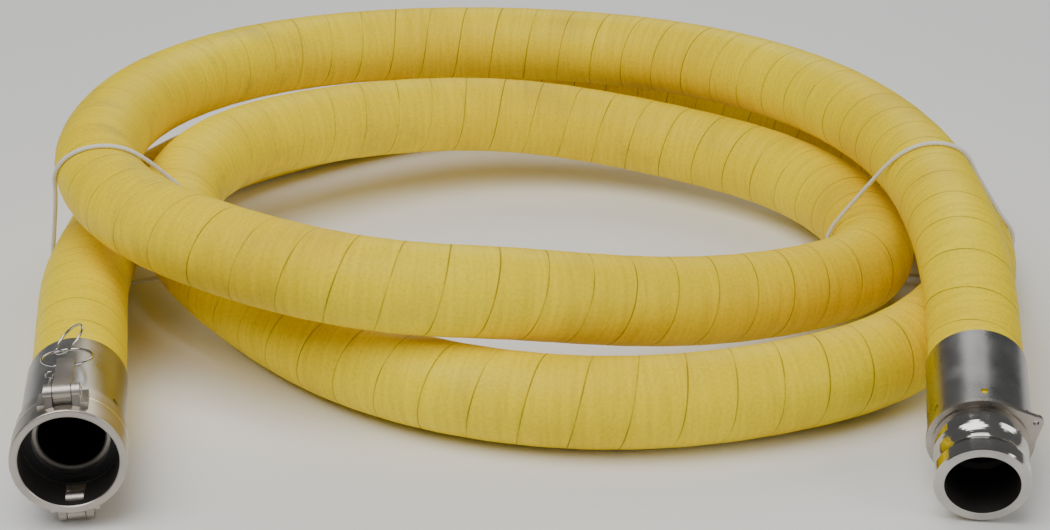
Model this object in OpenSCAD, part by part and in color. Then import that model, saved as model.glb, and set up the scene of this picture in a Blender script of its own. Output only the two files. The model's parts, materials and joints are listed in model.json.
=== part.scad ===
// A suction and discharge hose, coiled in two and a half loose turns.
// A cam-lever coupler is crimped on one end, a cam adapter on the other, and two strings hold the coil.
// Lengths are in millimetres. The coil lies on z = 0, and both couplings face -Y.

/* [Hose] */
// Outer diameter of the hose
hose_od = 65; // [60:0.5:65]
// Waterway bore of the hose
hose_bore = 50.8; // [46:0.2:50.8]
// Thickness of the wrapped outer cover
cover_wall = 1.7; // [1:0.1:2.2]
// Thickness of the rubber liner
liner_wall = 2; // [1:0.1:2.4]

/* [Ferrules] */
// Wall of the two crimped ferrules
ferrule_wall = 1.7; // [1:0.1:3]
// Distance from the coupler's mouth to the rear edge of its ferrule
coupler_ferrule_end = 114; // [95:1:115]
// Distance from the adapter's face to the rear edge of its ferrule
adapter_ferrule_end = 118; // [95:1:119]
// Diameter of the six inspection holes in each ferrule
inspection_hole_d = 5; // [3:0.5:6]

/* [Coupler] */
// Outer diameter of the coupler at its mouth
mouth_od = 75; // [73:0.5:76]
// Inner diameter of the socket
socket_id = 64.3; // [64:0.1:65]
// Depth of the socket from the mouth to the gasket recess
socket_depth = 30; // [29:0.5:31]
// Outer diameter of the gasket
gasket_od = 66.7; // [65.5:0.1:68]
// Thickness of the gasket
gasket_t = 6.35; // [4:0.05:6.4]
// Bore of the two metal shanks
shank_bore = 44; // [40:0.5:45]

/* [Cam arms] */
// Width of a cam arm across its pin
arm_w = 11.5; // [10:0.5:13]
// Length of a cam arm from its pin to its tip
arm_len = 47; // [42:1:52]
// Thickness of the lever along its length
arm_t = 5; // [4:0.2:5.6]
// Distance from an arm's tip to the hole for its ring
ring_hole_setback = 9; // [7:0.5:11]
// Diameter of a cam arm's pin
pin_d = 5; // [4:0.5:6]
// Thickness of each ear that carries the pin
ear_t = 5; // [4:0.5:6]

/* [Rings] */
// Centreline diameter of a pull ring
pull_ring_d = 33; // [28:1:35]
// Wire of a pull ring
pull_ring_wire = 2; // [1.4:0.1:2.2]
// Centreline diameter of the clip ring
clip_ring_d = 25; // [22:1:26]
// Wire of the clip ring
clip_ring_wire = 1.6; // [1.2:0.1:1.8]

/* [Adapter] */
// Outer diameter of the adapter's face
face_od = 63; // [62:0.1:63.2]
// Bore at the adapter's face
face_bore = 49; // [44:0.5:50]
// Diameter at the root of the cam groove
groove_root_d = 55; // [53:0.5:57]
// Outer diameter of the tether plate
plate_od = 71; // [68:0.5:74]
// Thickness of the tether plate
plate_t = 3; // [2:0.2:3.4]
// Diameter of the hole in the tether plate's tab
tab_hole_d = 4; // [3:0.5:5]

/* [Ties] */
// Diameter of the tie string
tie_d = 3.5; // [2.5:0.1:3.5]
// Diameter of a knot in the string
knot_d = 9; // [6:0.5:10]

/* [Hidden] */
$fn = 64;

// Clearances
run_gap = 0.05;      // radial, a pin or collar that turns
side_gap = 0.55;     // each side of an arm between its ears
layer_gap = 0.2;     // between the hose's layers
fit_gap = 0.1;       // between fixed pieces that seat in each other
ring_hole_slack = 0.3;  // radial, round a ring's wire in the arm

// The centreline of the hose, from the coupler's mouth to the adapter's face
route = [
    [-302, -384, 50], [-317, -270, 50],
    // back along the left, under the top loop
    [-333, -165, 52], [-344, -90, 45], [-348, -10, 37], [-342, 75, 34], [-315, 150, 33], [-275, 210, 33],
    // first turn, on the floor
    [-220, 260, 33], [-125, 320, 33], [-15, 353, 33], [95, 358, 33], [190, 325, 33], [260, 255, 33],
    [307, 175, 33], [336, 100, 35], [346, 20, 38], [338, -60, 37], [312, -122, 34], [276, -172, 33],
    [235, -210, 33], [180, -240, 33], [110, -262, 33], [40, -268, 33], [-25, -258, 33], [-100, -226, 33],
    [-165, -174, 33],
    // second turn, climbing at the left and leaning inside the first
    [-218, -115, 37], [-260, -65, 48], [-284, -12, 60], [-286, 45, 70], [-262, 105, 75], [-205, 160, 75],
    [-120, 208, 70], [-15, 230, 62], [55, 225, 54], [140, 195, 46], [205, 150, 42], [245, 97, 39],
    [263, 45, 38], [266, -10, 40], [252, -62, 44], [215, -102, 48], [165, -138, 55], [110, -170, 65],
    [45, -198, 79], [-25, -222, 95],
    // third half turn, on top of the others
    [-95, -232, 104], [-165, -220, 111], [-225, -192, 116], [-270, -160, 119], [-307, -118, 121],
    [-334, -60, 122], [-344, 20, 119], [-324, 145, 112], [-258, 248, 106], [-170, 304, 102],
    [-80, 322, 101], [-15, 320, 101], [60, 305, 101], [145, 262, 103], [225, 185, 105], [273, 90, 108],
    [298, -5, 108], [305, -85, 106], [306, -150, 100], [305, -205, 84],
    [300, -265, 59], [285, -380, 31]];

// Where each string wraps a strand: the strand's centre, its heading, and the angles from and to,
// counted from +X towards +Z. The string lies in a plane that falls away behind.
tie_left_wraps = [
    [[-273, -37, 54], [-24, 53, 12], -78, 38],
    [[-327, -75, 122], [-27, 58, 1], 38, 167],
    [[-347, -30, 40], [-4, 80, -8], 167, 282]];
tie_right_wraps = [
    [[264, -4, 40], [6, 60, -3], 225, 152],
    [[300, -34, 108], [-7, 80, 2], 152, 33],
    [[345, 2, 38], [8, 80, 1], 33, -92],
    [[264, -4, 40], [6, 60, -3], 268, 228]];
tie_left_plane = [[-327, -75, 122], [0, 1, 0.55]];
tie_right_plane = [[300, -34, 108], [0, 1, 0.45]];
wrap_steps = 6;
tie_gap = 1;                    // between the string's centreline and a bare touch
knot_gap = 0.5;                 // between a knot and the hose's round

// Hose
hose_sides = 10;
hose_r = hose_od / 2;
flat_ratio = cos(180 / hose_sides);
liner_in = (hose_bore / 2) / flat_ratio;   // its flats touch the waterway
liner_out = liner_in + liner_wall;
cover_in = hose_r - cover_wall;
plies_in = liner_out + layer_gap;
plies_out = cover_in - layer_gap;

// Coupler, along its own axis from the mouth
mouth_r = mouth_od / 2;
socket_r = socket_id / 2;
gasket_seat = socket_depth + gasket_t + fit_gap;
bell_end = gasket_seat + 1.2;
bell_step = 22;                 // where the mouth's thick band ends
bell_r = mouth_r - 1;
lip_round = 1.2;
recess_r = gasket_od / 2 + fit_gap;
gasket_in = 25.4;
shank_in = shank_bore / 2;
shank_r = hose_bore / 2 - 0.5;  // root of the barbs
barb_r = hose_bore / 2 - fit_gap;
barb_pitch = 11;
barb_count = 5;
neck_r = 27;                    // the groove that holds the ferrule's front wall
front_wall = 2;
collar_r = 28.5;
collar_w = 1.4;

// Ferrules
ferrule_in = hose_r + fit_gap;
ferrule_r = ferrule_in + ferrule_wall;
coupler_ferrule_start = bell_end + fit_gap;
coupler_hose_start = coupler_ferrule_start + front_wall + 2.5;
hole_offset = 8;                // from a ferrule's front wall to its inspection holes
hole_count = 6;

// Cam arms
pin_r = pin_d / 2;
pin_x = 14;
pin_z = mouth_r + 6;
hub_r = 5.4;
ear_r = 5.5;
ear_gap = arm_w + 2 * side_gap;
ear_pad = 4.6;                  // low pads outside the ears
ear_back = 27;
pin_len = ear_gap + 2 * ear_t + 1.6;
lobe_r = 5;
lobe_reach = pin_z - groove_root_d / 2 - 2 - lobe_r;
window_from = pin_x - 7;
window_to = pin_x + 14.5;
ring_hole_x = arm_len - ring_hole_setback;
coupler_roll = -1.5;

// Rings
pull_r = pull_ring_d / 2;
clip_r = clip_ring_d / 2;
pull_sag = pull_r - sqrt(pull_r * pull_r - arm_w * arm_w / 4);   // of its wire across the arm
ring_hole_r = (pull_ring_wire + pull_sag) / 2 + ring_hole_slack;
pull_lift = 4.3;                // the top ring's far side above the ferrule
pull_droop = asin((pin_z - ferrule_r - pull_ring_wire / 2 - pull_lift) / pull_ring_d);
floor_droop = 9;                // the bottom ring lies on the floor
link_gap = pull_ring_wire / 2 + clip_ring_wire / 2 + 1.2;
link_turn = 10;                 // where the clip ring hangs on the pull ring
clip_tilt = [-33, -28, -30];    // and how it leans there
eye_r = 2.4;
eye_wire = 0.6;
eye_reach = 18;                 // from the ear's back to the eye

// Adapter, along its own axis from the face
face_r = face_od / 2;
groove_from = 11;
groove_to = 29;
groove_r = groove_root_d / 2;
shoulder_r = 31;
shoulder_end = 42;
plate_start = shoulder_end + 0.3;
plate_seat_r = 27;
adapter_ferrule_start = plate_start + plate_t + 0.5;
adapter_hose_start = adapter_ferrule_start + front_wall + 2.5;
tab_angle = 29;
tab_hole_from_axis = 39;
tab_tip_r = 5;
tab_root_angle = 26;

// ---- vectors and places ----

function unit(v) = v / norm(v);

// Turns local +X, from a coupling's mouth towards the hose, into the hose's direction there
module along(mouth, inner) {
    d = unit(inner - mouth);
    translate(mouth) rotate([0, -asin(d[2]), atan2(d[1], d[0])]) children();
}
module at_coupler() { along(route[0], route[1]) rotate([coupler_roll, 0, 0]) children(); }
module at_adapter() { along(route[len(route) - 1], route[len(route) - 2]) children(); }

// The bottom arm is the top one turned half round the coupler
module side(bottom) { rotate([bottom ? 180 : 0, 0, 0]) children(); }

// Revolves points [x, r] about the local X axis
module turned(points) {
    rotate([0, 90, 0]) rotate_extrude() polygon([for (p = points) [p[1], p[0]]]);
}

// A ring of round wire, flat in the local XY plane
module wire_ring(r, wire) { rotate_extrude() translate([r, 0]) circle(d = wire, $fn = 24); }

// ---- tubes swept along a route ----

function tangent(p, i) = unit(p[min(i + 1, len(p) - 1)] - p[max(i - 1, 0)]);
function side_way(t) = unit(cross(t, [0, 0, 1]));

// One ring of points round the route's i-th point
function ring(p, i, r, n) =
    let (t = tangent(p, i), u = side_way(t), w = cross(u, t))
    [for (k = [0:n - 1]) p[i] + r * (cos(360 * k / n) * u + sin(360 * k / n) * w)];

function rings(p, r, n) = [for (i = [0:len(p) - 1]) each ring(p, i, r, n)];

// Two triangles for each face between neighbouring rings
function skin(count, n, base, out) = [
    for (i = [0:count - 2]) for (k = [0:n - 1])
        let (a = base + i * n + k, b = base + i * n + (k + 1) % n, c = a + n, d = b + n)
        each (out ? [[a, c, b], [b, c, d]] : [[a, b, c], [b, d, c]])];

// The flat end between an outer and an inner ring
function end_face(outer, inner, n, front) = [
    for (k = [0:n - 1])
        let (a = outer + k, b = outer + (k + 1) % n, c = inner + k, d = inner + (k + 1) % n)
        each (front ? [[a, b, c], [b, d, c]] : [[a, c, b], [b, c, d]])];

// Points of a string round one strand, slid along the strand into the string's plane
function wrap(strand, plane, r) =
    let (c = strand[0], t = unit(strand[1]), u = side_way(t), w = cross(u, t))
    [for (i = [0:wrap_steps])
        let (a = strand[2] + (strand[3] - strand[2]) * i / wrap_steps,
             p = c + r * (cos(a) * u + sin(a) * w))
        p - t * ((p - plane[0]) * plane[1]) / (t * plane[1])];

// The whole loop, closed at its knot
function tie_path(wraps, plane, r) =
    let (points = [for (strand = wraps) each wrap(strand, plane, r)])
    concat(points, [points[0]]);

module hollow_tube(p, r_out, r_in, n) {
    count = len(p);
    base = count * n;
    last = (count - 1) * n;
    polyhedron(
        points = concat(rings(p, r_out, n), rings(p, r_in, n)),
        faces = concat(skin(count, n, 0, true), skin(count, n, base, false),
                       end_face(0, base, n, true), end_face(last, base + last, n, false)));
}

// A string loop: rings stand square to the route and meet in the knot
function loop_ring(p, i, r, n, centre) =
    let (t = tangent(p, i), u = unit(cross(t, cross(p[i] - centre, t))), w = cross(t, u))
    [for (k = [0:n - 1]) p[i] + r * (cos(360 * k / n) * u + sin(360 * k / n) * w)];

module string_loop(p, r, n, centre) {
    count = len(p);
    polyhedron(
        points = [for (i = [0:count - 1]) each loop_ring(p, i, r, n, centre)],
        faces = concat(skin(count, n, 0, false), [[for (k = [n - 1:-1:0]) k]],
                       [[for (k = [0:n - 1]) (count - 1) * n + k]]));
}

// The hose runs straight through each ferrule
function from_end(a, b, distance) = a + unit(b - a) * distance;
last_point = len(route) - 1;
hose_path = concat(
    [from_end(route[0], route[1], coupler_hose_start)],
    [for (i = [1:last_point - 1]) route[i]],
    [from_end(route[last_point], route[last_point - 1], adapter_hose_start)]);

module hose_cover() { color("gold") hollow_tube(hose_path, hose_r, cover_in, hose_sides); }
module hose_plies() { color("wheat") hollow_tube(hose_path, plies_out, plies_in, hose_sides); }
module hose_liner() { color("dimgray") hollow_tube(hose_path, liner_out, liner_in, hose_sides); }

// ---- shared metal shapes ----

// A shank with barbs that the hose is pushed over, and the neck that holds the ferrule
function shank_profile(from, ferrule_from) =
    let (barbs_from = ferrule_from + front_wall + fit_gap + collar_w + 3)
    concat(
        [[from, neck_r], [ferrule_from + front_wall + fit_gap, neck_r],
         [ferrule_from + front_wall + fit_gap, neck_r + 1.2],
         [ferrule_from + front_wall + fit_gap + collar_w, shank_r]],
        [for (i = [0:barb_count - 1]) each [[barbs_from + i * barb_pitch, barb_r],
                                            [barbs_from + (i + 0.8) * barb_pitch, shank_r]]],
        [[barbs_from + barb_count * barb_pitch, shank_r], [barbs_from + barb_count * barb_pitch, shank_in]]);

// A thin sleeve over the hose with a front wall round the neck and six inspection holes
module ferrule(from, to) {
    difference() {
        turned([[from, neck_r + fit_gap], [from, ferrule_r - 0.8], [from + 0.8, ferrule_r],
                [to - 0.5, ferrule_r], [to, ferrule_r - 0.5], [to, ferrule_in],
                [from + front_wall, ferrule_in], [from + front_wall, neck_r + fit_gap]]);
        for (i = [0:hole_count - 1])
            rotate([i * 360 / hole_count, 0, 0])
                translate([from + hole_offset, 0, ferrule_in - 2])
                    cylinder(d = inspection_hole_d, h = ferrule_wall + 4);
    }
}

// ---- coupler ----

module pin_ear(y_from) {
    translate([0, y_from + ear_t, 0]) rotate([90, 0, 0]) {
        translate([pin_x, pin_z, 0]) cylinder(r = ear_r, h = ear_t);
        linear_extrude(ear_t)
            polygon([[pin_x - ear_r, pin_z], [pin_x - ear_r - 3, mouth_r - 3], [ear_back, mouth_r - 3],
                     [ear_back, mouth_r + 2], [pin_x + ear_r, pin_z]]);
    }
}

module ear_pair() {
    half = ear_gap / 2;
    pin_ear(half);
    pin_ear(-half - ear_t);
    for (s = [-1, 1])
        translate([6, s * (half + ear_t + ear_pad / 2) - ear_pad / 2, mouth_r - 7])
            cube([18, ear_pad, 8.5]);
}

module coupler_body() {
    color("silver") at_coupler() difference() {
        union() {
            turned(concat(
                [[0, socket_r + 0.6], [0, mouth_r - lip_round]],
                [for (a = [30:30:90]) [lip_round * (1 - cos(a)), mouth_r - lip_round * (1 - sin(a))]],
                [[bell_step, mouth_r], [bell_step + 1.5, bell_r], [bell_end - 1.2, bell_r],
                 [bell_end, bell_r - 1.2]],
                shank_profile(bell_end, coupler_ferrule_start),
                [[gasket_seat, shank_in], [gasket_seat, recess_r], [socket_depth, recess_r],
                 [socket_depth, socket_r], [0.6, socket_r]]));
            for (bottom = [false, true]) side(bottom) difference() {
                ear_pair();
                rotate([0, 90, 0]) cylinder(r = socket_r + 2, h = 60);
            }
        }
        for (bottom = [false, true]) side(bottom) {
            translate([window_from, -ear_gap / 2, socket_r - 6]) cube([window_to - window_from, ear_gap, 30]);
            translate([pin_x, 40, pin_z]) rotate([90, 0, 0]) cylinder(r = pin_r + run_gap / 2, h = 80);
        }
    }
}

module coupler_gasket() {
    color("black") at_coupler()
        turned([[socket_depth + fit_gap / 2, gasket_in], [socket_depth + fit_gap / 2, gasket_od / 2],
                [socket_depth + gasket_t, gasket_od / 2], [socket_depth + gasket_t, gasket_in]]);
}

module coupler_ferrule() {
    color("silver") at_coupler() ferrule(coupler_ferrule_start, coupler_ferrule_end);
}

// ---- cam arms, their pins and rings ----

// The lever in its own plane: along the lever, and outwards
module arm_plate() {
    linear_extrude(arm_w)
        polygon([[0, -2.4], [10, arm_t / 2 - 4.8], [arm_len - 10, -arm_t / 2], [arm_len - 2, -arm_t / 2],
                 [arm_len, -arm_t / 2 + 1.5], [arm_len, arm_t / 2 - 1.5], [arm_len - 2, arm_t / 2],
                 [arm_len - 10, arm_t / 2], [10, arm_t / 2 + 0.6], [0, hub_r]]);
    cylinder(r = hub_r, h = arm_w);
    linear_extrude(arm_w)
        polygon([[-4.6, -2], [4.8, -2], [4.8, -lobe_reach], [-4.6, -lobe_reach]]);
    translate([0.1, -lobe_reach, 0]) cylinder(r = lobe_r - 0.3, h = arm_w);
}

module cam_arm(bottom) {
    at_coupler() side(bottom) translate([pin_x, arm_w / 2, pin_z]) rotate([90, 0, 0]) difference() {
        union() arm_plate();
        translate([0, 0, -1]) cylinder(r = pin_r + run_gap, h = arm_w + 2);
        translate([ring_hole_x, 0, -1]) cylinder(r = ring_hole_r, h = arm_w + 2);
    }
}
module cam_arm_top() { color("gainsboro") cam_arm(false); }
module cam_arm_bottom() { color("gainsboro") cam_arm(true); }

module arm_pin(bottom) {
    at_coupler() side(bottom) translate([pin_x, pin_len / 2, pin_z]) rotate([90, 0, 0])
        cylinder(r = pin_r, h = pin_len);
}
module arm_pin_top() { color("silver") arm_pin(false); }
module arm_pin_bottom() { color("silver") arm_pin(true); }

// Moves from the arm's hole to the middle of its ring, tipped by the ring's droop
module at_ring(droop) {
    translate([pin_x + ring_hole_x, 0, pin_z]) rotate([0, droop, 0])
        translate([pull_r - pull_sag / 2, 0, 0]) children();
}

module pull_ring_top() {
    color("silver") at_coupler() at_ring(pull_droop) wire_ring(pull_r, pull_ring_wire);
}
module pull_ring_bottom() {
    color("silver") at_coupler() side(true) at_ring(-floor_droop) wire_ring(pull_r, pull_ring_wire);
}

// The clip ring is threaded on the back of the pull ring and leans over the ferrule
module clip_ring_top() {
    color("silver") at_coupler() at_ring(pull_droop)
        rotate([0, 0, link_turn]) translate([pull_r, 0, 0]) rotate(clip_tilt)
            translate([clip_r - link_gap, 0, 0]) wire_ring(clip_r, clip_ring_wire);
}

// A wire that reaches back from an ear beside the arm, and ends in a small eye
module clip_eye(bottom) {
    at_coupler() side(bottom) translate([ear_back, ear_gap / 2 + ear_t - 2 * eye_wire, mouth_r + 1]) {
        rotate([0, 90, 0]) cylinder(r = eye_wire, h = eye_reach, $fn = 24);
        translate([eye_reach, 0, eye_r]) rotate([0, 90, 0]) wire_ring(eye_r, 2 * eye_wire);
    }
}
module clip_eye_top() { color("silver") clip_eye(false); }
module clip_eye_bottom() { color("silver") clip_eye(true); }

// ---- adapter ----

// The cam groove is an arc through its two edges and its root
groove_mid = (groove_from + groove_to) / 2;
groove_half = (groove_to - groove_from) / 2;
groove_depth = shoulder_r - groove_r;
groove_arc_r = (groove_half * groove_half + groove_depth * groove_depth) / (2 * groove_depth);
groove_sweep = asin(groove_half / groove_arc_r);

module adapter_body() {
    color("silver") at_adapter()
        turned(concat(
            [[0, face_bore / 2], [0, face_r - 1], [1, face_r], [groove_from - 1, face_r],
             [groove_from, shoulder_r]],
            [for (i = [1:11]) let (a = -groove_sweep + i * groove_sweep / 6)
                [groove_mid + groove_arc_r * sin(a), groove_r + groove_arc_r * (1 - cos(a))]],
            [[groove_to, shoulder_r], [shoulder_end - 1, shoulder_r], [shoulder_end, shoulder_r - 1],
             [shoulder_end, plate_seat_r]],
            shank_profile(shoulder_end, adapter_ferrule_start),
            [[shoulder_end + 4, shank_in], [shoulder_end, face_bore / 2]]));
}

module adapter_ferrule() {
    color("silver") at_adapter() ferrule(adapter_ferrule_start, adapter_ferrule_end);
}

// Outline of the plate: a round of the plate's size with a rounded tab on its +X side
plate_outline = concat(
    [for (a = [tab_root_angle:4:360 - tab_root_angle]) plate_od / 2 * [cos(a), sin(a)]],
    [for (a = [-60:15:60]) [tab_hole_from_axis, 0] + tab_tip_r * [cos(a), sin(a)]]);

// A loose ring between shoulder and ferrule, with a tab for a tether
module tether_plate() {
    color("silver") at_adapter() translate([plate_start, 0, 0]) rotate([90, 0, 90])
        rotate(180 - tab_angle) difference() {
            linear_extrude(plate_t) polygon(plate_outline);
            translate([0, 0, -1]) cylinder(r = plate_seat_r + run_gap, h = plate_t + 2);
            translate([tab_hole_from_axis, 0, -1]) cylinder(d = tab_hole_d, h = plate_t + 2);
        }
}

// ---- ties ----

tie_sides = 8;
wrap_r = hose_r + tie_d / 2 + tie_gap;
tie_left_path = tie_path(tie_left_wraps, tie_left_plane, wrap_r);
tie_right_path = tie_path(tie_right_wraps, tie_right_plane, wrap_r);
left_centre = [-316, -48, 72];
right_centre = [303, -12, 62];
module tie_left() { color("white") string_loop(tie_left_path, tie_d / 2, tie_sides, left_centre); }
module tie_right() { color("white") string_loop(tie_right_path, tie_d / 2, tie_sides, right_centre); }
module knot(p) { color("white") translate(p) sphere(d = knot_d, $fn = 32); }
knot_r = hose_r + knot_d / 2 + knot_gap;
module tie_left_knot() { knot(wrap(tie_left_wraps[0], tie_left_plane, knot_r)[0]); }
module tie_right_knot() { knot(wrap(tie_right_wraps[0], tie_right_plane, knot_r)[0]); }

hose_cover();
hose_plies();
hose_liner();
coupler_body();
coupler_gasket();
coupler_ferrule();
cam_arm_top();
cam_arm_bottom();
arm_pin_top();
arm_pin_bottom();
pull_ring_top();
pull_ring_bottom();
clip_ring_top();
clip_eye_top();
clip_eye_bottom();
adapter_body();
adapter_ferrule();
tether_plate();
tie_left();
tie_right();
tie_left_knot();
tie_right_knot();
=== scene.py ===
"""A suction and discharge hose in a loose coil: wrapped yellow rubber, steel couplings and two ties.

Lengths are in metres in the meshes, and values given in millimetres are multiplied by MM.
"""

import json
import math

import bpy
import numpy as np
from bpy.props import FloatProperty, FloatVectorProperty, IntProperty, PointerProperty
from bpy.types import Operator, Panel, PropertyGroup
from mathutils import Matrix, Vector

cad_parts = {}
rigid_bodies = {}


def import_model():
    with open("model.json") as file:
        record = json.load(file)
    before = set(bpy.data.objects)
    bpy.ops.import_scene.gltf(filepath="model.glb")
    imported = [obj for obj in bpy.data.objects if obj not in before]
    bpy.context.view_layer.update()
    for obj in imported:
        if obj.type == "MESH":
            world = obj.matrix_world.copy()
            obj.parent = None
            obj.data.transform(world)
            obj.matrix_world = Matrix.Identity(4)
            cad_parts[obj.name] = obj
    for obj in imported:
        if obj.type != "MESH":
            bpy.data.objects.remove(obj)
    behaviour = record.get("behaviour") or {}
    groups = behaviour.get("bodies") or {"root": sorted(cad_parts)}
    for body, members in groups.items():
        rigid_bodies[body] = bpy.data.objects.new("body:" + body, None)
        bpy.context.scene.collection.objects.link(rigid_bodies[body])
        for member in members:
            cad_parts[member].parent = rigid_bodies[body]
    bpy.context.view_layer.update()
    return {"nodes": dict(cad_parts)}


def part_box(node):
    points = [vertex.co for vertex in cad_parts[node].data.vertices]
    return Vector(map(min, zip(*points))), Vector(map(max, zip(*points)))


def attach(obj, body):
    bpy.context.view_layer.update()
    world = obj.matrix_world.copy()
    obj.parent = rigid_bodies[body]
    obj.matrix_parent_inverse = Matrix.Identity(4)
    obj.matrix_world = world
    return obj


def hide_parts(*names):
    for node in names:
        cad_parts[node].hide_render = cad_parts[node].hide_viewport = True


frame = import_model()

bl_info = {
    "name": "Coiled rubber hose",
    "version": (1, 0, 0),
    "blender": (4, 5, 0),
    "location": "View3D > Sidebar > Hose",
    "description": "Makes a coiled hose with its couplings, its ties and a studio",
    "category": "Add Mesh",
}

MM = 0.001
COVER_WALL, PLIES_WALL, TUBE_WALL = 1.7 * MM, 1.5 * MM, 3.4 * MM
LAYER_GAP = 0.2 * MM  # keeps the hose's three layers apart
WRAP_CROWN = 0.15 * MM  # how far the middle of a strip of tape stands above its edges
COVER_GIRTH = 0.204  # metres round the cover: makes a length of the UV that counts turns
TWIST_PITCH = 11 * MM  # length of one turn of the string's strands
TAUT_STEPS = 120  # after these the string's straight runs no longer move
NEAR_STRING = 0.2  # metres: hose farther than this from a string's middle can't touch the string
FLOOR_DROP = 1 * MM  # the floor lies this far under z = 0, clear of the lowest point
AS_CAST = "#6A6764"  # dark grey of bores that are left as cast
CAMERA_AT = (-0.010, -1.620, 0.7331)
CAMERA_DIP = math.radians(23.8)


def linear(hex_code):
    """Turns an sRGB hex colour into linear red, green, blue and alpha."""
    c = np.array([int(hex_code[i : i + 2], 16) for i in (1, 3, 5)]) / 255
    c = np.where(c <= 0.04045, c / 12.92, ((c + 0.055) / 1.055) ** 2.4)
    return (*c.tolist(), 1.0)


# ---- places, repeated from the part's design ----

# The hose's centreline from the coupler's mouth to the adapter's face, in millimetres
ROUTE = MM * np.array(
    [
        (-302, -384, 50), (-317, -270, 50),
        # back along the left, under the top loop
        (-333, -165, 52), (-344, -90, 45), (-348, -10, 37), (-342, 75, 34), (-315, 150, 33),
        (-275, 210, 33),
        # first turn, on the floor
        (-220, 260, 33), (-125, 320, 33), (-15, 353, 33), (95, 358, 33), (190, 325, 33),
        (260, 255, 33), (307, 175, 33), (336, 100, 35), (346, 20, 38), (338, -60, 37),
        (312, -122, 34), (276, -172, 33), (235, -210, 33), (180, -240, 33), (110, -262, 33),
        (40, -268, 33), (-25, -258, 33), (-100, -226, 33), (-165, -174, 33),
        # second turn, climbing at the left and leaning inside the first
        (-218, -115, 37), (-260, -65, 48), (-284, -12, 60), (-286, 45, 70), (-262, 105, 75),
        (-205, 160, 75), (-120, 208, 70), (-15, 230, 62), (55, 225, 54), (140, 195, 46),
        (205, 150, 42), (245, 97, 39), (263, 45, 38), (266, -10, 40), (252, -62, 44),
        (215, -102, 48), (165, -138, 55), (110, -170, 65), (45, -198, 79), (-25, -222, 95),
        # third half turn, on top of the others
        (-95, -232, 104), (-165, -220, 111), (-225, -192, 116), (-270, -160, 119),
        (-307, -118, 121), (-334, -60, 122), (-344, 20, 119), (-324, 145, 112),
        (-258, 248, 106), (-170, 304, 102), (-80, 322, 101), (-15, 320, 101), (60, 305, 101),
        (145, 262, 103), (225, 185, 105), (273, 90, 108), (298, -5, 108), (305, -85, 106),
        (306, -150, 100), (305, -205, 84), (300, -265, 59), (285, -380, 31),
    ]
)
COUPLER_HOSE_START = 42.25 * MM
ADAPTER_HOSE_START = 50.3 * MM
COUPLER_ROLL = math.radians(-1.5)

# Each string's turns round the strands: the strand's centre in millimetres, its heading, and the
# angles from and to in degrees, counted from +X towards +Z. The string lies in a sloping plane.
LEFT_WRAPS = (
    ((-273, -37, 54), (-24, 53, 12), -78, 38),
    ((-327, -75, 122), (-27, 58, 1), 38, 167),
    ((-347, -30, 40), (-4, 80, -8), 167, 282),
)
RIGHT_WRAPS = (
    ((264, -4, 40), (6, 60, -3), 225, 152),
    ((300, -34, 108), (-7, 80, 2), 152, 33),
    ((345, 2, 38), (8, 80, 1), 33, -92),
    ((264, -4, 40), (6, 60, -3), 268, 228),
)
LEFT_PLANE = ((-327, -75, 122), (0, 1, 0.55))
RIGHT_PLANE = ((300, -34, 108), (0, 1, 0.45))


# ---- settings ----


def colour(name, description, hex_code):
    return FloatVectorProperty(
        name=name, description=description, subtype="COLOR", min=0, max=1, default=linear(hex_code)[:3]
    )


class HoseSettings(PropertyGroup):
    """Sizes and colours of the hose itself."""

    outer_diameter: FloatProperty(
        name="Outer diameter", description="Across the wrapped cover", default=65 * MM, unit="LENGTH"
    )
    wrap_pitch: FloatProperty(
        name="Wrap pitch", description="Width of the cloth tape's mark", default=33 * MM, unit="LENGTH"
    )
    cover: colour("Cover", "Yellow of the clean cover", "#FFE400")
    cover_shade: colour("Cover shade", "Deeper yellow in the cover's mottling", "#EFC800")
    scuff: colour("Scuff", "Grey brown of handling marks", "#9C8A5C")
    wrap_line: colour("Wrap line", "Dark olive of the tape's edge", "#6E5408")


class TieSettings(PropertyGroup):
    """Size and colour of the string ties."""

    diameter: FloatProperty(
        name="Diameter", description="Across the twisted string", default=3.5 * MM, unit="LENGTH"
    )
    string: colour("String", "Off-white of the twisted string", "#F1EFE8")
    strands: IntProperty(name="Strands", description="Strands in the twist", default=3, min=2, max=4)


class MetalSettings(PropertyGroup):
    """Colours of the couplings."""

    cast: colour("Cast steel", "Warm grey of the cast pieces", "#B9B2A8")
    sleeve: colour("Sleeve steel", "Grey of the crimped sleeves", "#A9A7A4")
    turned: colour("Turned steel", "Bright grey of the machined pieces", "#C4C0BA")


class StageSettings(PropertyGroup):
    """The studio round the hose."""

    focal_length: FloatProperty(
        name="Focal length", description="On a 36 mm wide sensor, in millimetres", default=75.43
    )
    floor: colour("Floor", "Pale floor", "#F2F1EF")
    key_power: FloatProperty(
        name="Key light", description="Power of the overhead softbox", default=60.0, unit="POWER"
    )


# ---- meshes ----


def unit(v):
    return v / np.linalg.norm(v, axis=-1, keepdims=True)


def shut_grid(rows, columns):
    """Quads of a grid that closes on itself both along its rows and along its columns."""
    r, c = np.meshgrid(np.arange(rows), np.arange(columns), indexing="ij")
    here, after = r * columns, (r + 1) % rows * columns
    beside = (c + 1) % columns
    return np.stack([here + c, here + beside, after + beside, after + c], -1).reshape(-1, 4)


def grid_uv(turn, along):
    """UV of the corners of such a grid's quads: turn, from 0 to 1 round it, and the length along it."""
    beside = turn + 1 / len(turn)
    u = np.tile(np.stack([turn, beside, beside, turn], -1), (len(along), 1))
    after = np.roll(along, -1)
    v = np.repeat(np.stack([along, along, after, after], -1), len(turn), axis=0)
    return np.stack([u, v], -1)


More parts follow.
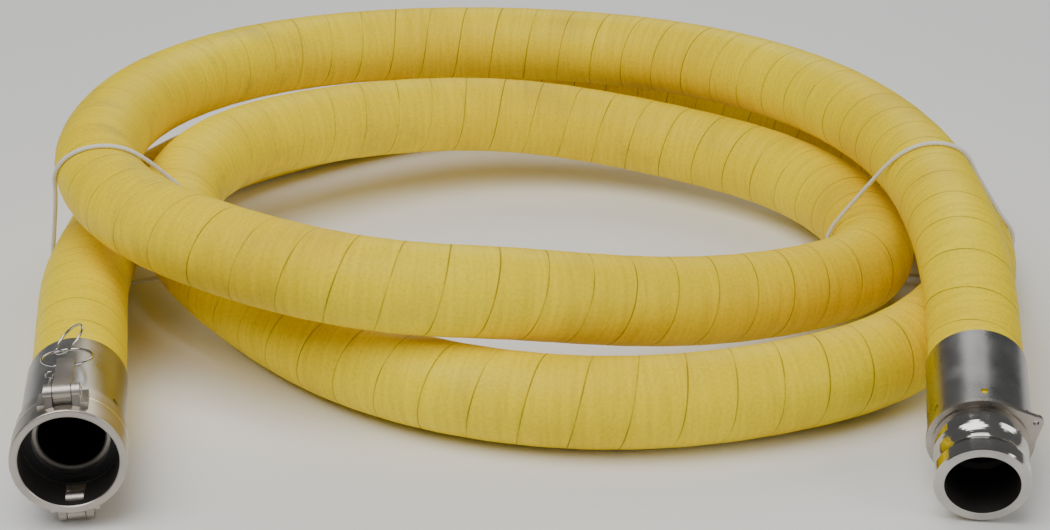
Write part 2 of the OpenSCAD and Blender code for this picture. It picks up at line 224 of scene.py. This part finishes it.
def add_mesh(name, points, quads, uv):
    """Puts points and faces into a new object at the origin, with smooth faces that point outwards.

    The grid's faces are turned round if the volume they enclose comes out negative.
    """
    p = points[quads]
    volume = np.einsum("ij,ij->i", p[:, 0], np.cross(p[:, 1], p[:, 2])).sum()
    volume += np.einsum("ij,ij->i", p[:, 0], np.cross(p[:, 2], p[:, 3])).sum()
    order = slice(None, None, -1) if volume < 0 else slice(None)
    quads = quads[:, order]
    mesh = bpy.data.meshes.new(name)
    mesh.from_pydata(points.tolist(), [], quads.tolist())
    mesh.polygons.foreach_set("use_smooth", [True] * len(mesh.polygons))
    layer = mesh.uv_layers.new(name="wrap")
    layer.data.foreach_set("uv", uv[:, order].astype(np.float32).ravel())
    mesh.validate()
    piece = bpy.data.objects.new(name, mesh)
    bpy.context.scene.collection.objects.link(piece)
    return piece


def resample(line, step):
    """The line again with even spacing, by linear interpolation along its length."""
    along = np.concatenate([[0], np.cumsum(np.linalg.norm(np.diff(line, axis=0), axis=1))])
    at = np.linspace(0, along[-1], max(2, round(along[-1] / step) + 1))
    return np.stack([np.interp(at, along, line[:, k]) for k in range(3)], axis=1), at


def smooth_curve(points, first, last, steps=24):
    """The cubic spline of continuous curvature through points, which starts along first and ends along last.

    Its slopes m solve m[i-1]/h[i-1] + 2 m[i] (1/h[i-1] + 1/h[i]) + m[i+1]/h[i]
    = 3 (d[i-1]/h[i-1]^2 + d[i]/h[i]^2), where h are the chords' lengths and d the chords.
    Between two points it is the Hermite cubic of their places and slopes.
    """
    d = np.diff(points, axis=0)
    h = np.linalg.norm(d, axis=1)
    n = len(points)
    inner = np.arange(1, n - 1)
    matrix = np.eye(n)
    matrix[inner, inner - 1] = 1 / h[:-1]
    matrix[inner, inner] = 2 / h[:-1] + 2 / h[1:]
    matrix[inner, inner + 1] = 1 / h[1:]
    right = np.zeros((n, 3))
    right[inner] = 3 * (d[:-1] / h[:-1, None] ** 2 + d[1:] / h[1:, None] ** 2)
    right[0], right[-1] = first, last
    m = np.linalg.solve(matrix, right)
    t = (np.arange(steps) / steps)[None, :, None]
    a, b, hh = points[:-1, None], points[1:, None], h[:, None, None]
    made = (
        (2 * t**3 - 3 * t**2 + 1) * a
        + (t**3 - 2 * t**2 + t) * hh * m[:-1, None]
        + (3 * t**2 - 2 * t**3) * b
        + (t**3 - t**2) * hh * m[1:, None]
    )
    return np.concatenate([made.reshape(-1, 3), points[-1:]])


def hose_line():
    """The hose's own centreline: straight inside each sleeve, and one smooth curve between them."""
    first, last = unit(ROUTE[1] - ROUTE[0]), unit(ROUTE[-1] - ROUTE[-2])
    start = ROUTE[0] + COUPLER_HOSE_START * first
    end = ROUTE[-1] - ADAPTER_HOSE_START * last
    curve = smooth_curve(ROUTE[1:-1], first, last)
    return np.concatenate([start[None], curve, end[None]])


def across(line):
    """Two unit vectors square to the line at each point: level, and upwards."""
    t = unit(np.gradient(line, axis=0))
    level = unit(np.cross(t, [0.0, 0.0, 1.0]))
    return level, np.cross(level, t)


def swept_wall(name, line, along, outer, inner, sides, skip):
    """A hollow tube along a line: out at outer(theta, s), back at the inner radius, shut at both ends.

    A point is line(s) + r (cos(theta) level + sin(theta) up). Its UV is (theta / full turn, s in metres).
    The way back has one row for each skip rows of the way out.
    """
    level, up = across(line)
    back = np.arange(0, len(line), skip)[::-1]
    back[0] = len(line) - 1
    place = np.concatenate([np.arange(len(line)), back])
    turn = np.arange(sides) / sides
    theta = 2 * np.pi * turn[None, :]
    out = outer(theta, along[:, None]) * np.ones((len(line), sides))
    radius = np.concatenate([out, np.full((len(back), sides), inner)])
    points = line[place][:, None] + radius[..., None] * (
        np.cos(theta)[..., None] * level[place][:, None] + np.sin(theta)[..., None] * up[place][:, None]
    )
    return add_mesh(name, points.reshape(-1, 3), shut_grid(len(place), sides), grid_uv(turn, along[place]))


# ---- materials ----


def node(tree, kind, inputs=None, **settings):
    """Adds one shader node with its settings. An input is a value, or another node's output to link."""
    made = tree.nodes.new("ShaderNode" + kind)
    for name, value in settings.items():
        setattr(made, name, value)
    for key, value in (inputs or {}).items():
        if isinstance(value, bpy.types.NodeSocket):
            tree.links.new(value, made.inputs[key])
        else:
            made.inputs[key].default_value = value
    return made


def new_material(name, **inputs):
    """A material with one principled shader, whose plain values are set on its own sockets."""
    material = bpy.data.materials.new(name)
    material.use_nodes = True
    tree = material.node_tree
    shader = tree.nodes["Principled BSDF"]
    for key, value in inputs.items():
        shader.inputs[key.replace("_", " ")].default_value = value
    return material, tree, shader


def frame_of(mouth, inner, roll):
    """Place and XYZ angles of a coupling's own axes, with X from its mouth towards the hose."""
    d = unit(inner - mouth)
    return mouth.tolist(), (roll, -math.asin(d[2]), math.atan2(d[1], d[0]))


def wrapped_cover(s):
    """Yellow synthetic rubber cured under cloth tape: satin, mottled, with the tape's edge every 33 mm."""
    material, tree, shader = new_material("wrapped_yellow_rubber", Specular_IOR_Level=0.22)
    uv = node(tree, "UVMap", uv_map="wrap").outputs[0]
    part = node(tree, "SeparateXYZ", {0: uv})
    place = node(tree, "TexCoord").outputs["Object"]

    # The tape's edge: a helix of one start, wandering by a few hundredths of its pitch
    wander = node(tree, "TexNoise", {"Vector": place, "Scale": 9.0, "Detail": 1.0}).outputs[0]
    wander = node(tree, "Math", {0: wander, 1: 0.16}, operation="MULTIPLY").outputs[0]
    turns = node(tree, "Math", {0: part.outputs[1], 1: 1 / s.wrap_pitch}, operation="MULTIPLY").outputs[0]
    phase = node(tree, "Math", {0: turns, 1: part.outputs[0]}, operation="SUBTRACT").outputs[0]
    phase = node(tree, "Math", {0: phase, 1: wander}, operation="ADD").outputs[0]
    gap = node(tree, "Math", {0: phase, 1: 0.5}, operation="PINGPONG").outputs[0]
    edge = node(
        tree, "MapRange", {0: gap, 1: 0.006, 2: 0.021, 3: 1.0, 4: 0.0}, interpolation_type="SMOOTHSTEP"
    ).outputs[0]
    fade = node(tree, "TexNoise", {"Vector": place, "Scale": 26.0, "Detail": 2.0}).outputs[0]
    fade = node(tree, "MapRange", {0: fade, 1: 0.34, 2: 0.6, 3: 0.3, 4: 1.0}).outputs[0]
    edge = node(tree, "Math", {0: edge, 1: fade}, operation="MULTIPLY").outputs[0]
    lap = node(tree, "Math", {0: phase}, operation="FRACT").outputs[0]

    # The cloth's print: threads 1.2 mm apart, drawn at twice that so that they show
    grid = node(tree, "Mapping", {0: uv, 3: (COVER_GIRTH, 1.0, 1.0)}).outputs[0]
    cloth = node(tree, "TexNoise", {"Vector": grid, "Scale": 420.0, "Detail": 2.0}).outputs[0]
    streak = node(tree, "Mapping", {0: uv, 3: (3.0, 260.0, 1.0)}).outputs[0]
    streak = node(tree, "TexNoise", {"Vector": streak, "Scale": 1.0, "Detail": 2.0}).outputs[0]

    # Colour: mottling of a hand's width and streaks, then handling marks, most at the bend at the left
    # where the coil is picked up, and the tape's dark edge, which is rubbed away there
    broad = node(tree, "TexNoise", {"Vector": place, "Scale": 7.0, "Detail": 3.0}).outputs[0]
    broad = node(tree, "MapRange", {0: broad, 1: 0.35, 2: 0.72, 3: 0.0, 4: 0.75}).outputs[0]
    yellow = node(
        tree, "Mix", {0: broad, 6: (*s.cover, 1), 7: (*s.cover_shade, 1)}, data_type="RGBA"
    ).outputs[2]
    fleck = node(tree, "Math", {0: cloth, 1: streak}, operation="ADD").outputs[0]
    fleck = node(tree, "MapRange", {0: fleck, 1: 0.7, 2: 1.3, 3: 0.86, 4: 1.1}).outputs[0]
    yellow = node(
        tree, "Mix", {0: 1.0, 6: yellow, 7: fleck}, data_type="RGBA", blend_type="MULTIPLY"
    ).outputs[2]
    worn = node(
        tree, "TexNoise", {"Vector": place, "Scale": 15.0, "Detail": 6.0, "Roughness": 0.62}
    ).outputs[0]
    worn = node(tree, "MapRange", {0: worn, 1: 0.54, 2: 0.76, 3: 0.0, 4: 0.6}).outputs[0]
    handled = node(
        tree, "VectorMath", {0: place, 1: (-0.30, 0.08, 0.1)}, operation="DISTANCE"
    ).outputs["Value"]
    handled = node(
        tree, "MapRange", {0: handled, 1: 0.09, 2: 0.30, 3: 1.0, 4: 0.4}, interpolation_type="SMOOTHSTEP"
    ).outputs[0]
    worn = node(tree, "Math", {0: worn, 1: handled}, operation="MULTIPLY").outputs[0]
    yellow = node(tree, "Mix", {0: worn, 6: yellow, 7: (*s.scuff, 1)}, data_type="RGBA").outputs[2]
    kept = node(tree, "Math", {0: 1.0, 1: handled}, operation="SUBTRACT").outputs[0]
    kept = node(tree, "Math", {0: kept, 1: 0.8, 2: 0.2}, operation="MULTIPLY_ADD").outputs[0]
    dark = node(tree, "Math", {0: edge, 1: kept}, operation="MULTIPLY").outputs[0]
    yellow = node(tree, "Mix", {0: dark, 6: yellow, 7: (*s.wrap_line, 1)}, data_type="RGBA").outputs[2]
    tree.links.new(yellow, shader.inputs["Base Color"])

    # Height: each turn of tape leaves a ramp and a groove, with the wire's ripple and the cloth on top
    ripple = node(tree, "Math", {0: phase, 1: 3 * 2 * math.pi}, operation="MULTIPLY").outputs[0]
    ripple = node(tree, "Math", {0: ripple}, operation="SINE").outputs[0]
    height = node(tree, "Math", {0: lap, 1: 0.25}, operation="MULTIPLY").outputs[0]
    height = node(tree, "Math", {0: edge, 1: -0.45, 2: height}, operation="MULTIPLY_ADD").outputs[0]
    height = node(tree, "Math", {0: ripple, 1: 0.05, 2: height}, operation="MULTIPLY_ADD").outputs[0]
    height = node(tree, "Math", {0: fleck, 1: 0.6, 2: height}, operation="MULTIPLY_ADD").outputs[0]
    bump = node(tree, "Bump", {"Height": height, "Distance": 1 * MM, "Strength": 0.75}).outputs[0]
    tree.links.new(bump, shader.inputs["Normal"])
    rough = node(tree, "MapRange", {0: broad, 1: 0.0, 2: 0.75, 3: 0.46, 4: 0.6}).outputs[0]
    tree.links.new(rough, shader.inputs["Roughness"])
    return material


def plain_rubber(name, hex_code, roughness, grain):
    """Black moulded or extruded rubber: nearly matte, with a faint grain of that size in metres."""
    material, tree, shader = new_material(name, Roughness=roughness)
    place = node(tree, "TexCoord").outputs["Object"]
    noise = node(tree, "TexNoise", {"Vector": place, "Scale": 1 / grain, "Detail": 3.0}).outputs[0]
    tone = node(tree, "MapRange", {0: noise, 1: 0.3, 2: 0.7, 3: 0.7, 4: 1.3}).outputs[0]
    base = node(
        tree, "Mix", {0: 1.0, 6: linear(hex_code), 7: tone}, data_type="RGBA", blend_type="MULTIPLY"
    ).outputs[2]
    tree.links.new(base, shader.inputs["Base Color"])
    bump = node(tree, "Bump", {"Height": noise, "Distance": 0.1 * MM, "Strength": 0.5}).outputs[0]
    tree.links.new(bump, shader.inputs["Normal"])
    return material


def cord_plies():
    """Rubberised polyester cord: tan threads 1 mm apart, laid along a steep helix, and a dull coat."""
    material, tree, shader = new_material("rubberised_polyester_cord", Roughness=0.8)
    uv = node(tree, "UVMap", uv_map="wrap").outputs[0]
    threads = node(tree, "Mapping", {0: uv, 2: (0, 0, 0.9), 3: (0.19, 1.0, 1.0)}).outputs[0]
    wave = node(tree, "TexWave", {"Vector": threads, "Scale": 160.0}).outputs["Fac"]
    base = node(
        tree, "Mix", {0: wave, 6: linear("#8A7449"), 7: linear("#C9B68C")}, data_type="RGBA"
    ).outputs[2]
    tree.links.new(base, shader.inputs["Base Color"])
    bump = node(tree, "Bump", {"Height": wave, "Distance": 0.3 * MM}).outputs[0]
    tree.links.new(bump, shader.inputs["Normal"])
    return material


def steel(name, colour_value, roughness, place_of, lines=0.0, grain=0.0, stain=0.12, zones=()):
    """Stainless steel: tool lines round a coupling's axis, cast grain, and a cloudy stain.

    The lines are noise of x + r, where x lies along the axis and r is the distance from it, so they are
    rings on a cylinder and circles on a face. lines and grain are sizes in metres, and 0 leaves them out.
    zones are (from x, to x, from r, to r, colour, roughness) of places with another finish, or with a painted
    highlight or painted shade.
    """
    material, tree, shader = new_material(name, Metallic=1.0)
    place = node(tree, "TexCoord").outputs["Object"]
    location, angles = place_of
    own = node(tree, "Mapping", {0: place, 1: location, 2: angles}, vector_type="TEXTURE").outputs[0]
    part = node(tree, "SeparateXYZ", {0: own})
    flat = node(tree, "CombineXYZ", {1: part.outputs[1], 2: part.outputs[2]}).outputs[0]
    radius = node(tree, "VectorMath", {0: flat}, operation="LENGTH").outputs["Value"]
    sweep = node(tree, "Math", {0: part.outputs[0], 1: radius}, operation="ADD").outputs[0]
    cloud = node(tree, "TexNoise", {"Vector": own, "Scale": 45.0, "Detail": 4.0}).outputs[0]
    height = cloud
    depth = 0.02 * MM
    if lines:
        ring = node(
            tree, "TexNoise", {"W": sweep, "Scale": 1 / lines, "Detail": 2.0}, noise_dimensions="1D"
        ).outputs[0]
        height, depth = ring, 0.03 * MM
    if grain:
        speck = node(tree, "TexNoise", {"Vector": own, "Scale": 1 / grain, "Detail": 3.0}).outputs[0]
        height, depth = speck, 0.16 * MM
    tone = node(tree, "MapRange", {0: cloud, 1: 0.3, 2: 0.7, 3: 1 - stain, 4: 1 + stain}).outputs[0]
    base = node(
        tree, "Mix", {0: 1.0, 6: (*colour_value, 1), 7: tone}, data_type="RGBA", blend_type="MULTIPLY"
    ).outputs[2]
    rough = node(
        tree, "MapRange", {0: cloud, 1: 0.3, 2: 0.7, 3: roughness * 0.8, 4: roughness * 1.25}
    ).outputs[0]
    for x0, x1, r0, r1, hex_code, dullness in zones:
        along = node(
            tree, "Math", {0: part.outputs[0], 1: (x0 + x1) / 2, 2: (x1 - x0) / 2}, operation="COMPARE"
        ).outputs[0]
        around = node(tree, "Math", {0: radius, 1: (r0 + r1) / 2, 2: (r1 - r0) / 2}, operation="COMPARE")
        mask = node(tree, "Math", {0: along, 1: around.outputs[0]}, operation="MULTIPLY").outputs[0]
        base = node(tree, "Mix", {0: mask, 6: base, 7: linear(hex_code)}, data_type="RGBA").outputs[2]
        rough = node(tree, "Mix", {0: mask, 2: rough, 3: dullness}).outputs[0]
    tree.links.new(base, shader.inputs["Base Color"])
    tree.links.new(rough, shader.inputs["Roughness"])
    bump = node(tree, "Bump", {"Height": height, "Distance": depth, "Strength": 0.6}).outputs[0]
    tree.links.new(bump, shader.inputs["Normal"])
    return material


def twisted_string(colour_value):
    """Twisted synthetic string: off-white and matte, with fibres that follow the twist."""
    material, tree, shader = new_material("twisted_white_string", Roughness=0.85)
    uv = node(tree, "UVMap", uv_map="wrap").outputs[0]
    fibre = node(tree, "Mapping", {0: uv, 2: (0, 0, 0.6), 3: (0.04, 1.0, 1.0)}).outputs[0]
    noise = node(tree, "TexNoise", {"Vector": fibre, "Scale": 2600.0, "Detail": 2.0}).outputs[0]
    tone = node(tree, "MapRange", {0: noise, 1: 0.3, 2: 0.7, 3: 0.78, 4: 1.0}).outputs[0]
    base = node(
        tree, "Mix", {0: 1.0, 6: (*colour_value, 1), 7: tone}, data_type="RGBA", blend_type="MULTIPLY"
    ).outputs[2]
    tree.links.new(base, shader.inputs["Base Color"])
    bump = node(tree, "Bump", {"Height": noise, "Distance": 0.2 * MM, "Strength": 0.6}).outputs[0]
    tree.links.new(bump, shader.inputs["Normal"])
    return material


def finish_with(piece, material):
    """Gives all of a piece's faces one material."""
    piece.data.materials.clear()
    piece.data.materials.append(material)


# ---- operators ----


class HOSE_OT_stage(Operator):
    """Make the pale floor, the soft lights and the camera."""

    bl_idname = "hose.stage"
    bl_label = "Studio"

    def execute(self, context):
        s = context.scene.hose_stage
        camera = bpy.data.objects.new("camera", bpy.data.cameras.new("camera"))
        camera.data.lens = s.focal_length
        camera.data.sensor_width = 36
        camera.location = CAMERA_AT
        camera.rotation_euler = (math.pi / 2 - CAMERA_DIP, 0, 0)
        context.scene.collection.objects.link(camera)
        context.scene.camera = camera

        half = 6.0
        corners = np.array([(-half, -half, 0), (half, -half, 0), (half, half, 0), (-half, half, 0)])
        mesh = bpy.data.meshes.new("floor")
        mesh.from_pydata((corners - (0, 0, FLOOR_DROP)).tolist(), [], [(0, 1, 2, 3)])
        floor = bpy.data.objects.new("floor", mesh)
        context.scene.collection.objects.link(floor)
        material, tree, shader = new_material("painted_floor", Roughness=0.7)
        place = node(tree, "TexCoord").outputs["Object"]
        cloud = node(tree, "TexNoise", {"Vector": place, "Scale": 2.0}).outputs[0]
        tone = node(tree, "MapRange", {0: cloud, 3: 0.98, 4: 1.0}).outputs[0]
        base = node(
            tree, "Mix", {0: 1.0, 6: (*s.floor, 1), 7: tone}, data_type="RGBA", blend_type="MULTIPLY"
        ).outputs[2]
        tree.links.new(base, shader.inputs["Base Color"])
        finish_with(floor, material)

        world = bpy.data.worlds.new("studio")
        world.use_nodes = True
        world.node_tree.nodes["Background"].inputs["Color"].default_value = linear("#E9ECEF")
        world.node_tree.nodes["Background"].inputs["Strength"].default_value = 0.17
        context.scene.world = world
        lights = (
            ("key", (-0.7, -0.9, 2.3), 2.2, s.key_power),
            ("fill", (2.2, -1.6, 1.3), 1.4, 0.3 * s.key_power),
            ("back", (0.4, 2.2, 1.8), 1.6, 0.35 * s.key_power),
        )
        for name, at, size, power in lights:
            light = bpy.data.objects.new(name, bpy.data.lights.new(name, "AREA"))
            light.data.size = size
            light.data.energy = power
            light.location = at
            aim = np.array((0, -0.05, 0.05)) - np.array(at)
            light.rotation_euler = (
                math.atan2(math.hypot(aim[0], aim[1]), -aim[2]),
                0,
                math.atan2(aim[1], aim[0]) - math.pi / 2,
            )
            context.scene.collection.objects.link(light)
        return {"FINISHED"}


class HOSE_OT_hose(Operator):
    """Make the hose's wrapped cover, its cord plies and its lining, nested in each other."""

    bl_idname = "hose.hose"
    bl_label = "Hose"

    def execute(self, context):
        s = context.scene.hose_body
        radius = s.outer_diameter / 2
        line = hose_line()

        def layer(name, step, outer, inner, sides, skip):
            even, along = resample(line, step)
            return swept_wall(name, even, along, outer, inner, sides, skip), even

        def wrapped(theta, s_along):
            # each strip of tape leaves the cover fuller in its middle
            phase = s_along / s.wrap_pitch - theta / (2 * np.pi)
            return radius - WRAP_CROWN * np.cos(np.pi * (phase % 1)) ** 2

        plies_radius = radius - COVER_WALL - LAYER_GAP
        tube_radius = plies_radius - PLIES_WALL - LAYER_GAP
        cover, even = layer("wrapped_cover", 3.2 * MM, wrapped, radius - COVER_WALL, 48, 6)
        plies, _ = layer("cord_plies", 9 * MM, lambda t, a: plies_radius, plies_radius - PLIES_WALL, 24, 2)
        lining, _ = layer("tube_lining", 9 * MM, lambda t, a: tube_radius, tube_radius - TUBE_WALL, 24, 2)
        finish_with(cover, wrapped_cover(s))
        finish_with(plies, cord_plies())
        finish_with(lining, plain_rubber("extruded_black_rubber", "#161616", 0.45, 0.8 * MM))
        for piece, cad, slot in (
            (cover, "hose_cover", "yellow_cover"),
            (plies, "hose_plies", "textile_plies"),
            (lining, "hose_liner", "black_liner"),
        ):
            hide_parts(cad)
            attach(piece, "root")
        return {"FINISHED"}


def string_line(wraps, plane, radius):
    """A string's closed line: an arc of that radius round each strand, slid along it into the plane.

    The arcs join by straight runs. The string is then pulled taut: each step moves every point halfway
    to the middle of its neighbours, and pushes out what lies nearer than the radius to the hose's line.
    """
    arcs = []
    origin, normal = MM * np.array(plane[0]), np.array(plane[1])
    for centre, heading, start, end in wraps:
        t = unit(np.array(heading, float))
        level = unit(np.cross(t, [0.0, 0.0, 1.0]))
        up = np.cross(level, t)
        a = np.radians(np.linspace(start, end, 40))[:, None]
        p = MM * np.array(centre) + radius * (np.cos(a) * level + np.sin(a) * up)
        arcs.append(p - ((p - origin) @ normal / (t @ normal))[:, None] * t)
    line, _ = resample(np.concatenate([*arcs, arcs[0][:1]]), 1.5 * MM)
    line = line[:-1]
    hose, _ = resample(hose_line(), 4 * MM)
    hose = hose[np.linalg.norm(hose - line.mean(0), axis=1) < NEAR_STRING]
    rows = np.arange(len(line))
    for _ in range(TAUT_STEPS):
        line = (np.roll(line, 1, axis=0) + 2 * line + np.roll(line, -1, axis=0)) / 4
        away = line[:, None] - hose[None]
        distance = np.linalg.norm(away, axis=-1)
        nearest = distance.argmin(1)
        reach = distance[rows, nearest]
        line += away[rows, nearest] * np.clip(radius / reach - 1, 0, None)[:, None]
    line = np.concatenate([line, line[:1]])
    return resample(line, 0.8 * MM)


def string_piece(name, line, along, diameter, strands):
    """A twisted string of n strands, of radius r (0.8 + 0.2 |cos(n (phi - full turn s / twist pitch) / 2)|).

    phi is counted from the side that faces away from the string's middle, and s runs along its line.
    """
    t = unit(np.gradient(line, axis=0))
    middle = line.mean(0)
    side = unit(np.cross(t, np.cross(line - middle, t)))
    other = np.cross(t, side)
    sides = 18
    turn = np.arange(sides) / sides
    phi = 2 * np.pi * turn[None, :]
    twist = 2 * np.pi * along[:, None] / TWIST_PITCH
    radius = diameter / 2 * (0.8 + 0.2 * np.abs(np.cos(strands * (phi - twist) / 2)))
    points = line[:, None] + radius[..., None] * (
        np.cos(phi)[..., None] * side[:, None] + np.sin(phi)[..., None] * other[:, None]
    )
    return add_mesh(name, points.reshape(-1, 3), shut_grid(len(line), sides), grid_uv(turn, along))


def knot_piece(name, box, out, diameter):
    """An overhand knot: a string along x = sin(a) + 2 sin(2a), y = cos(a) - 2 cos(2a), z = -sin(3a)."""
    a = np.linspace(0, 2 * np.pi, 121)[:-1]
    low, high = (np.array(corner) for corner in box)
    centre, reach = (low + high) / 2, (high - low).max() / 2 - diameter / 2
    x = (np.sin(a) + 2 * np.sin(2 * a)) / 3
    y = (np.cos(a) - 2 * np.cos(2 * a)) / 3
    z = -np.sin(3 * a) / 1.5
    level = unit(np.cross(out, [0.0, 1.0, 0.2]))
    line = centre + reach * (x[:, None] * level + y[:, None] * np.cross(out, level) + z[:, None] * out)
    closed = np.concatenate([line[-1:], line, line[:1]])
    t = unit(closed[2:] - closed[:-2])
    side = unit(np.cross(t, np.cross(line - centre + 0.3 * reach * out, t)))
    other = np.cross(t, side)
    sides = 12
    phi = 2 * np.pi * np.arange(sides)[None, :] / sides
    points = line[:, None] + diameter / 2 * (
        np.cos(phi)[..., None] * side[:, None] + np.sin(phi)[..., None] * other[:, None]
    )
    quads = shut_grid(len(line), sides)
    # every face round the string shows the same strip of fibres, 1 mm long
    u = np.tile(np.array([0, 1, 1, 0]) / sides, (len(quads), 1))
    v = np.repeat(np.arange(len(line)) * MM, sides)[:, None] + np.array([0, 0, 1, 1]) * MM
    return add_mesh(name, points.reshape(-1, 3), quads, np.stack([u, v], -1))


class HOSE_OT_ties(Operator):
    """Make the two twisted strings that hold the coil, with their knots."""

    bl_idname = "hose.ties"
    bl_label = "String ties"

    def execute(self, context):
        s = context.scene.hose_ties
        radius = context.scene.hose_body.outer_diameter / 2 + s.diameter / 2
        material = twisted_string(s.string)
        for name, wraps, plane in (
            ("tie_left", LEFT_WRAPS, LEFT_PLANE),
            ("tie_right", RIGHT_WRAPS, RIGHT_PLANE),
        ):
            line, along = string_line(wraps, plane, radius)
            line, along = line[:-1], along[:-1]
            string = string_piece(f"{name}_string", line, along, s.diameter, s.strands)
            out = unit(line[0] - MM * np.array(wraps[0][0]))
            knot = knot_piece(f"{name}_overhand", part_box(f"{name}_knot"), out, 0.62 * s.diameter)
            for piece, cad in ((string, name), (knot, f"{name}_knot")):
                finish_with(piece, material)
                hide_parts(cad)
                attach(piece, "root")
        return {"FINISHED"}


class HOSE_OT_couplings(Operator):
    """Give every piece of the two couplings the finish of its real metal or rubber."""

    bl_idname = "hose.couplings"
    bl_label = "Couplings"

    def execute(self, context):
        s = context.scene.hose_metal
        coupler = frame_of(ROUTE[0], ROUTE[1], COUPLER_ROLL)
        adapter = frame_of(ROUTE[-1], ROUTE[-2], 0.0)
        cast = steel("tumbled_cast_stainless", s.cast, 0.4, coupler, grain=1.1 * MM)
        body = steel(
            "machined_cast_stainless",
            s.cast,
            0.38,
            coupler,
            lines=0.9 * MM,
            zones=(
                (0.8 * MM, 29 * MM, 0, 32.6 * MM, AS_CAST, 0.5),  # socket
                (33 * MM, 120 * MM, 0, 23 * MM, AS_CAST, 0.5),  # shank's bore
                (20.8 * MM, 22.8 * MM, 35 * MM, 40 * MM, "#FBF8F2", 0.3),  # painted highlight along the edge of the band
                (22.8 * MM, 24.3 * MM, 35 * MM, 40 * MM, "#2E2B27", 0.6),  # painted shade in the corner behind the band
            ),
        )
        finishes = {
            "coupler_body": body,
            "coupler_ferrule": steel("satin_pressed_sleeve", s.sleeve, 0.34, coupler, lines=2.5 * MM),
            "adapter_ferrule": steel("bright_pressed_sleeve", s.sleeve, 0.3, adapter, lines=3 * MM),
            "adapter_body": steel(
                "bright_turned_stainless",
                s.turned,
                0.12,
                adapter,
                lines=0.8 * MM,
                zones=((0.6 * MM, 130 * MM, 0, 25.2 * MM, AS_CAST, 0.5),),
            ),
            "tether_plate": steel("stamped_stainless", s.cast, 0.3, adapter, lines=1.4 * MM),
            "coupler_gasket": plain_rubber("moulded_gasket_rubber", "#131313", 0.42, 0.7 * MM),
        }
        wire = steel("bright_drawn_wire", s.turned, 0.14, coupler)
        for name in ("cam_arm_top", "cam_arm_bottom"):
            finishes[name] = cast
        for name in ("arm_pin_top", "arm_pin_bottom"):
            finishes[name] = body
        for name in ("pull_ring_top", "pull_ring_bottom", "clip_ring_top", "clip_eye_top", "clip_eye_bottom"):
            finishes[name] = wire
        for name, material in finishes.items():
            finish_with(frame["nodes"][name], material)
        return {"FINISHED"}


class HOSE_PT_panel(Panel):
    """Lists the hose's pieces and their settings in the sidebar."""

    bl_idname = "HOSE_PT_panel"
    bl_label = "Coiled hose"
    bl_space_type = "VIEW_3D"
    bl_region_type = "UI"
    bl_category = "Hose"

    def draw(self, context):
        for operator, group in (
            (HOSE_OT_stage, "hose_stage"),
            (HOSE_OT_hose, "hose_body"),
            (HOSE_OT_ties, "hose_ties"),
            (HOSE_OT_couplings, "hose_metal"),
        ):
            box = self.layout.box()
            settings = getattr(context.scene, group)
            for name in settings.bl_rna.properties.keys():
                if name not in ("rna_type", "name"):
                    box.prop(settings, name)
            box.operator(operator.bl_idname)


GROUPS = {
    "hose_body": HoseSettings,
    "hose_ties": TieSettings,
    "hose_metal": MetalSettings,
    "hose_stage": StageSettings,
}
CLASSES = (*GROUPS.values(), HOSE_OT_stage, HOSE_OT_hose, HOSE_OT_ties, HOSE_OT_couplings, HOSE_PT_panel)


def register():
    for c in CLASSES:
        bpy.utils.register_class(c)
    for name, group in GROUPS.items():
        setattr(bpy.types.Scene, name, PointerProperty(type=group))


def unregister():
    for name in GROUPS:
        delattr(bpy.types.Scene, name)
    for c in reversed(CLASSES):
        bpy.utils.unregister_class(c)


def main():
    """Makes the whole scene."""
    for o in [o for o in bpy.context.scene.objects if o.name in ("Cube", "Light", "Camera")]:
        bpy.data.objects.remove(o)
    register()
    bpy.ops.hose.stage()
    bpy.ops.hose.hose()
    bpy.ops.hose.ties()
    bpy.ops.hose.couplings()


if __name__ == "__main__":
    main()
